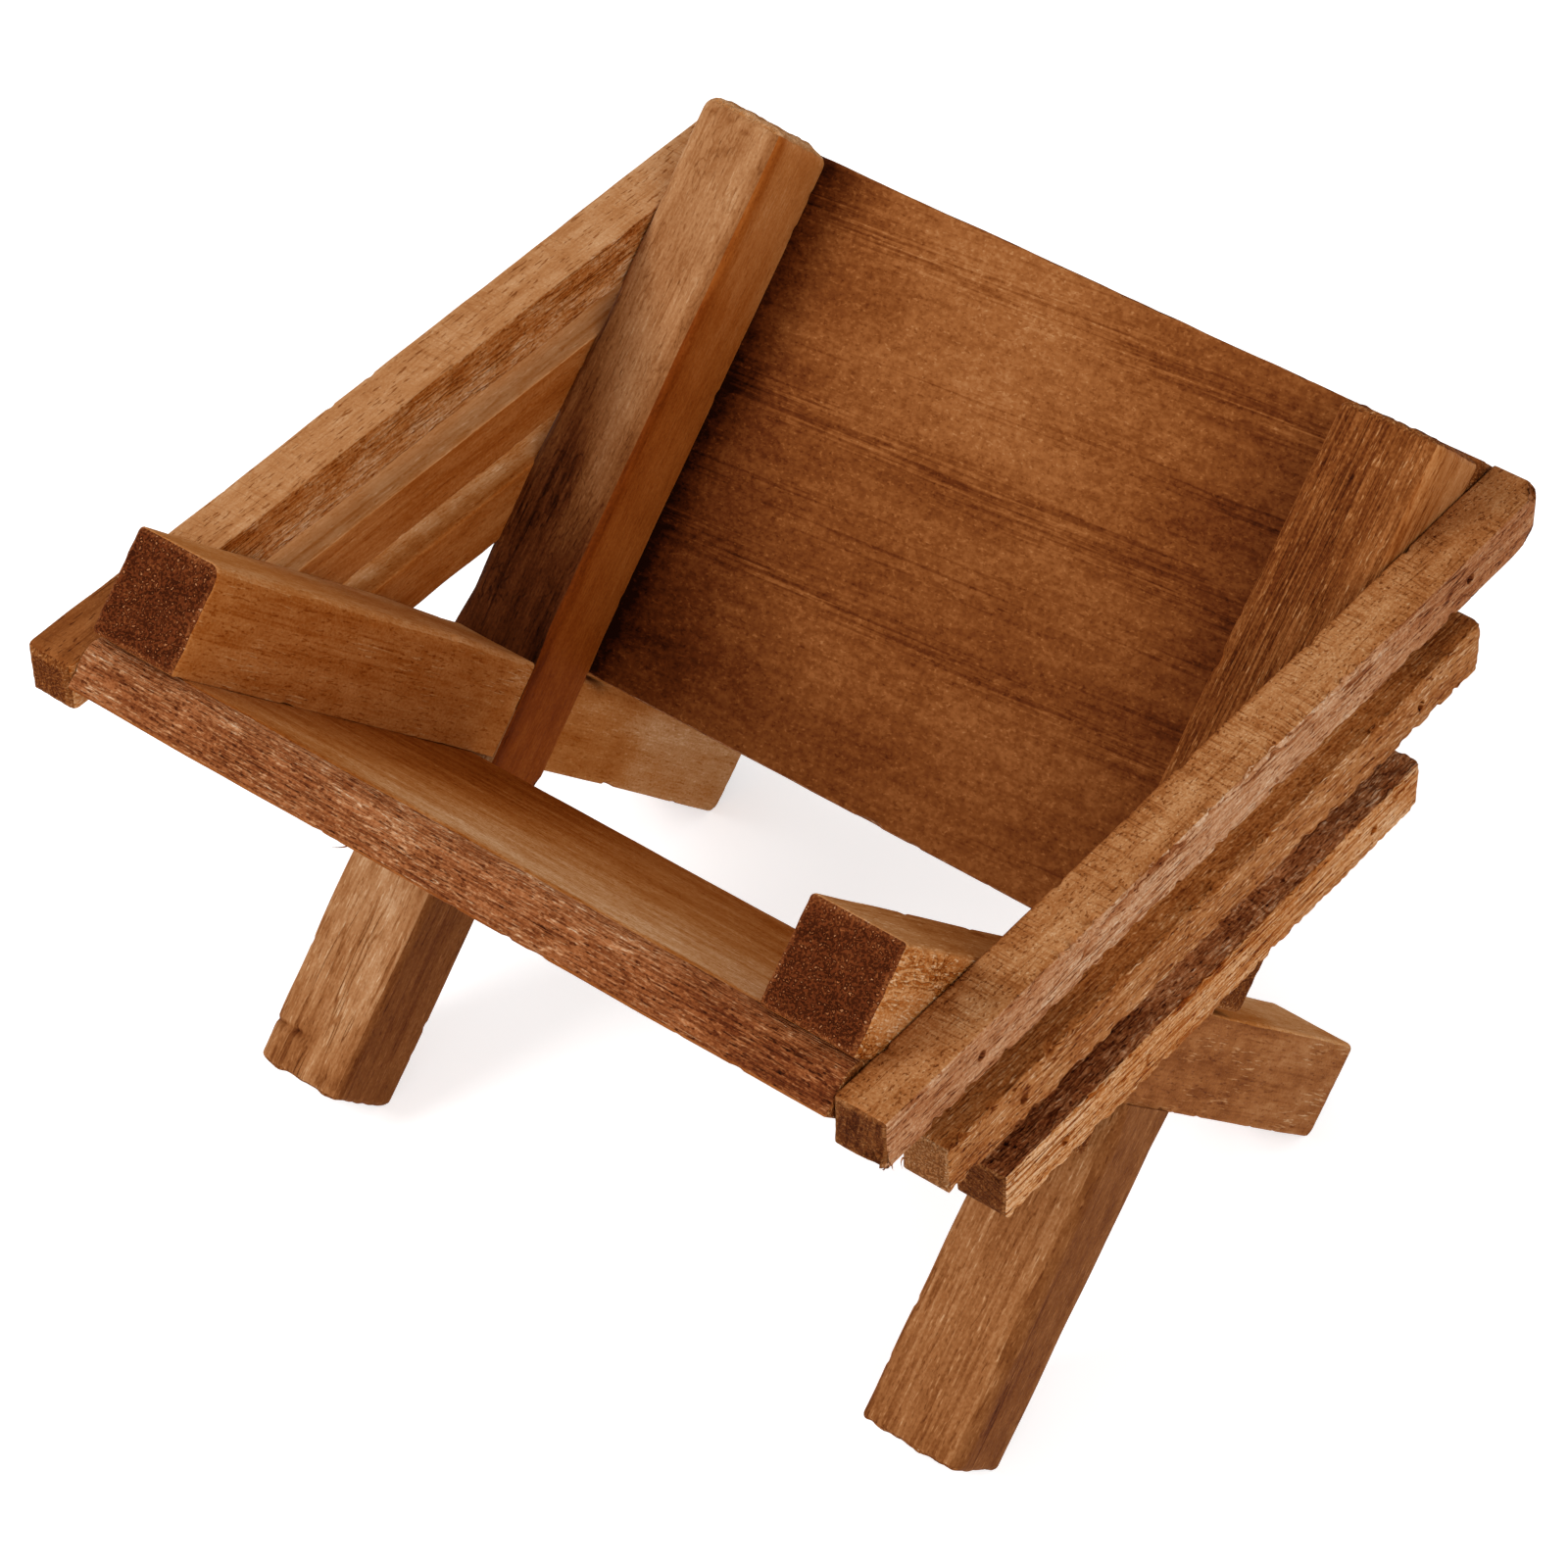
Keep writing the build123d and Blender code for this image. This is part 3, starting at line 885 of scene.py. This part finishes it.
# Boards: sides are top edge, inner face, bottom edge, outer face, then the two ends
boardCommon = {
    "rims": (0.4, 0.4), "spacing": 0.4, "across": (0.25, 0.4, 0.4, 0.4), "wave": 0.08,
    "fibre": (0.09, 0.02, 0.05, 0.02), "chips": 0.9, "ragged": 0.1,
}
boards = {
    "front_board": {
        "seed": 5, "ringTurn": 10, "rises": -1, "rounds": (2.6, 0.4, 0.4, 0.35), "handOver": 0.75,
        "strands": (((9.4, 27.0, -2.7), (0.9, -0.3, -0.7), (0.3, 0.5, 0.0), 0.08),),
        "faces": ("fibrous", "orangeSmooth", "fibrous", "plain", "endBrown", "endBrown"),
    },
    "back_board": {
        "seed": 6, "ringTurn": 5, "slant": -4, "rises": 1, "rounds": (0.35, 0.4, 0.4, 0.4),
        "swell": {2: ((-40, 0.4), (40, 0.4))},
        # painted shade in the low left corner
        "marks": (((-23, -22, 2.8), (15, 11, 8), 0, 0.04),),
        "faces": ("roughDark", "mottled", "fibrous", "plain", "endBrown", "endBrown"),
    },
}
thickness = 5.6  # mm, of a board
for node, own in boards.items():
    low, high = boxMm(node)
    width = (high.y - low.y) / half - thickness
    rises = own["rises"]
    axes = (Vector((rises, 0, 0)), Vector((0, rises * half, half)), Vector((0, -rises * half, half)))
    size = (high.x - low.x, width, thickness)
    makeBar(node, size, axes, (low + high) / 2, {**boardCommon, **own})
print("stage: boards made")

# Slats: sides are inner, top, outer and bottom, then start and finish end (front and back on the right)
slatCommon = {
    "rounds": (0.25, 0.25, 0.3, 0.3), "rims": (0.35, 0.8), "spacing": 0.32, "across": (0.4, 0.3, 0.28, 0.4),
    "wave": 0.08, "fibre": (0.06, 0.03, 0.07, 0.06), "chips": 1.1, "ragged": 0.12,
}
leftUnseen = ("roughTan", "roughDark", "endBrown", "endBrown")
slats = {
    "right_top_slat": {
        "seed": 7, "shift": (-0.4, -0.15, 0), "stretch": (0.0, 0.6),
        "rims": (0.35, 0.6), "noses": ((1, 1, 1, 0.8), (1, 1, -1, 2.6), (1, 2, 1, 1.4), (1, 2, -1, 1.4)),
        "fray": ((1, 1.1, -32, 3), (1, 0.7, 3, 26), (2, 0.6, -48, 40)),
        "tatters": ((-1, 2, 1.6),),
        # torn spots in the outer face with painted shade in the tears, a dark line beside the legs that is
        # painted shade in the gap, worn corners at the back
        "marks": (
            ((-21.5, -2.7, 0.4), (1.3, 1.0, 0.5), 0.5, 0.5),
            ((-19.0, -2.7, 1.2), (1.6, 1.0, 0.35), 0.45, 0.5),
            ((-13.0, -2.7, 2.6), (2.2, 1.0, 0.5), 0.5, 0.4),
            ((0, 2.7, 2.8), (70, 0.28, 0.4), 0, 0.6),
            ((50.0, -2.7, 2.85), (2.4, 1.8, 1.6), 1.7, 0),
            ((50.0, -2.7, -2.85), (2.4, 1.8, 1.5), 1.3, 0),
        ),
        "strands": (
            ((-50.0, -2.5, -2.4), (-1.2, -0.3, -0.5), (0.6, 0.2, 0.7), 0.1),
            ((-49.6, -2.6, -1.6), (-0.9, -0.5, -1.3), (0.9, 0.0, 0.3), 0.1),
            ((-49.2, -2.6, -2.6), (-0.8, -0.1, -1.0), (0.7, -0.2, 0.2), 0.08),
        ),
        "faces": ("roughDark", "goldenSawn", "roughTan", "roughDark", "endSawn", "endBrown"),
    },
    "right_middle_slat": {
        "seed": 8, "shift": (-0.3, 0, 0), "stretch": (0.0, 0.2), "swell": {1: ((10, 0.0), (45, 0.4))},
        "noses": ((1, 2, -1, 1.6), (-1, 1, 1, 1.4), (-1, 2, 1, 0.9), (-1, 2, -1, 0.8)),
        "fray": ((1, 0.9, -46, 44), (2, 0.6, -46, 44)),
        "tatters": ((-1, 2, 0.9), (-1, 3, 1.2)),
        "strands": (
            ((-41.2, 2.3, -1.6), (-0.5, 0.5, -0.8), (0.3, -0.6, -0.4), 0.1),
        ),
        "faces": ("roughDark", "roughBrown", "roughOrange", "roughDark", "endGrey", "endBrown"),
    },
    "right_bottom_slat": {
        "seed": 9, "shift": (-0.5, 0, 0), "torn": (0, 0.3, 0, 0),
        "swell": {1: ((10, 0.0), (40, 0.2)), 3: ((0, 0.0), (30, -0.3))}, "noses": ((-1, 2, -1, 1.2),),
        "fray": ((1, 0.6, -42, 40), (2, 0.5, -42, 40)),
        "faces": ("roughDark", "tornDark", "paleSawn", "roughDark", "endSawn", "endBrown"),
    },
    "left_top_slat": {
        "seed": 10, "shift": (0.8, 0, 0), "rims": (0.35, 1.0), "chips": 0.4,
        "swell": {1: ((-40, 0.35), (40, -0.1)), 2: ((-40, 0.4), (40, -0.15))},
        "faces": ("twoToned", "goldenPale", *leftUnseen),
    },
    "left_middle_slat": {
        "seed": 11, "chips": 0.4,
        "faces": ("slatOrange", "slatTan", *leftUnseen),
    },
    "left_bottom_slat": {
        "seed": 12, "chips": 0.4, "swell": {3: ((-40, 0.35), (40, 0.35))},
        "faces": ("slatBrown", "slatFaded", *leftUnseen),
    },
}
pinInset = {"top": 12.8, "middle": 10.6, "bottom": 8.4}  # from a slat's end
for node, own in slats.items():
    low, high = boxMm(node)
    side = 1 if node.startswith("right") else -1
    axes = (Vector((0, side, 0)), Vector((-side, 0, 0)), Vector((0, 0, 1)))
    size = (high.y - low.y, high.x - low.x, high.z - low.z)
    pinAt = size[0] / 2 - pinInset[node.split("_")[1]]
    shift = own.get("shift", (0, 0, 0))[0]
    shape = {**slatCommon, "ringTurn": own["seed"] * 37, "pins": (-pinAt - shift, pinAt - shift), **own}
    makeBar(node, size, axes, (low + high) / 2, shape)
print("stage: slats made")

# Pins: dulled steel with a slightly domed end, brown from the stain that ran over them
steel = bpy.data.materials.new("steel drawn and dulled")
tree = emptyTree(steel)
spot = addNode(tree, "TexCoord").outputs["Object"]
film = addNode(tree, "TexNoise", {"Scale": 1 / (0.3 * mm), "Detail": 3.0}, {"Vector": spot})
tint = addNode(tree, "ValToRGB", None, {0: film.outputs[0]})
for stop, (where, code) in zip(tint.color_ramp.elements, ((0.35, "1f1611"), (0.7, "4a3c33"))):
    stop.position = where
    stop.color = linear(code)
dull = addNode(tree, "MapRange", {"To Min": 0.5, "To Max": 0.8}, {"Value": film.outputs[0]})
scar = addNode(tree, "Bump", {"Strength": 1.0, "Distance": 0.02 * mm}, {"Height": film.outputs[0]})
skin = addNode(
    tree,
    "BsdfPrincipled",
    {"Metallic": 1.0},
    {"Base Color": tint.outputs[0], "Roughness": dull.outputs[0], "Normal": scar.outputs[0]},
)
addNode(tree, "OutputMaterial", None, {"Surface": skin.outputs[0]})
pinShape = {
    "radius": 0.4, "length": 11.2, "sink": 0.2, "point": 0.5, "pointShare": 0.4, "dome": 0.12,
    "domeTurns": (1.5, 1.2, 0.9, 0.6, 0.3), "round": 24,
}
for side in (-1, 1):
    name = "left" if side < 0 else "right"
    low, high = boxMm(name + "_slat_pins")
    outer = (high.x if side > 0 else -low.x) - pinShape["sink"]
    radius, count = pinShape["radius"], pinShape["round"]
    inner = outer - pinShape["length"]
    profile = [(inner, radius * pinShape["pointShare"]), (inner + pinShape["point"], radius)]
    for angle in pinShape["domeTurns"]:
        profile.append((outer - pinShape["dome"] * (1 - math.cos(angle)), radius * math.sin(angle)))
    verts, faces = [], []
    for step in ("top", "middle", "bottom"):
        slatLow, slatHigh = boxMm(name + "_" + step + "_slat")
        for end in (-1, 1):
            start = len(verts)
            y = end * ((slatHigh.y - slatLow.y) / 2 - pinInset[step])
            z = (slatLow.z + slatHigh.z) / 2
            for x, reach in profile:
                for k in range(count):
                    angle = 2 * math.pi * k / count
                    spot = Vector((side * x, y + reach * math.cos(angle), z + reach * math.sin(angle)))
                    verts.append(spot * mm)
            tube = skinRings(start, len(profile), count)
            faces += tube if side > 0 else [face[::-1] for face in tube]
    mesh = bpy.data.meshes.new(name + "_slat_pins_steel")
    mesh.from_pydata(verts, [], faces)
    mesh.materials.append(steel)
    mesh.shade_smooth()
    mesh.set_sharp_from_angle(angle=math.radians(50))
    piece = bpy.data.objects.new(name + "_slat_pins_steel", mesh)
    scene.collection.objects.link(piece)
    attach(piece, "root")
    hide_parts(name + "_slat_pins")
print("stage: pins made")

# Camera as fitted to the photo, aimed at a point just inside the trough
aim = {"azimuth": 38.93, "elevation": 43.84, "roll": -1.18, "distance": 504.4, "at": (-4.50, 3.00, 38.53)}
turnRound = math.radians(aim["azimuth"])
turnUp = math.radians(aim["elevation"])
level = math.cos(turnUp)
back = Vector((level * math.sin(turnRound), -level * math.cos(turnRound), math.sin(turnUp)))
lens = bpy.data.cameras.new("camera")
lens.lens = 120.0
lens.sensor_width = 36.0
lens.clip_start = 0.01
camera = bpy.data.objects.new("camera", lens)
camera.location = (Vector(aim["at"]) + back * aim["distance"]) * mm
camera.rotation_mode = "QUATERNION"
roll = Quaternion((0, 0, 1), math.radians(aim["roll"]))
camera.rotation_quaternion = back.to_track_quat("Z", "Y") @ roll
scene.collection.objects.link(camera)
scene.camera = camera

# Soft studio light: white surround, a broad key from the upper left front, a fill from the right
lamps = {
    "key": {"from": (-0.50, -0.60, 0.70), "size": 0.45, "power": 4.8},
    "fill": {"from": (0.75, -0.45, 0.60), "size": 0.7, "power": 3.9},
}
for name, own in lamps.items():
    lamp = bpy.data.lights.new(name, "AREA")
    lamp.shape = "DISK"
    lamp.size = own["size"]
    lamp.energy = own["power"]
    holder = bpy.data.objects.new(name, lamp)
    holder.location = Vector(own["from"])
    holder.rotation_mode = "QUATERNION"
    holder.rotation_quaternion = Vector(own["from"]).to_track_quat("Z", "Y")
    scene.collection.objects.link(holder)


# 1 for rays that show the surface itself, 0 for rays that only carry light
def seenDirectly(tree):
    path = addNode(tree, "LightPath").outputs
    shown = path["Is Camera Ray"]
    for kind in ("Is Glossy Ray", "Is Transmission Ray"):
        shown = addNode(tree, "Math", {"operation": "ADD"}, {0: shown, 1: path[kind]}).outputs[0]
    return shown


world = bpy.data.worlds.new("studio")
tree = emptyTree(world)
glow = addNode(tree, "MapRange", {"To Min": 0.62, "To Max": 1.0}, {"Value": seenDirectly(tree)})
surround = addNode(tree, "Background", {"Color": (1, 1, 1, 1)}, {"Strength": glow.outputs[0]})
addNode(tree, "OutputWorld", None, {"Surface": surround.outputs[0]})
scene.world = world

# Pale floor: white to the camera except where the object's shadow falls
paint = bpy.data.materials.new("floor paper matt white")
tree = emptyTree(paint)
lift = addNode(tree, "MapRange", {"To Min": 0.0, "To Max": 0.5}, {"Value": seenDirectly(tree)})
sheet = addNode(
    tree,
    "BsdfPrincipled",
    {
        "Base Color": linear("f0f0f0"),
        "Roughness": 0.9,
        "Specular IOR Level": 0.1,
        "Emission Color": (1, 1, 1, 1),
    },
    {"Emission Strength": lift.outputs[0]},
)
addNode(tree, "OutputMaterial", None, {"Surface": sheet.outputs[0]})
sheetMesh = bpy.data.meshes.new("floor")
reach = 3.0  # metres
corners = [(-reach, -reach, 0), (reach, -reach, 0), (reach, reach, 0), (-reach, reach, 0)]
sheetMesh.from_pydata(corners, [], [(0, 1, 2, 3)])
sheetMesh.materials.append(paint)
floor = bpy.data.objects.new("floor", sheetMesh)
scene.collection.objects.link(floor)
scene.view_settings.view_transform = "Standard"

print("stage: scene ready")
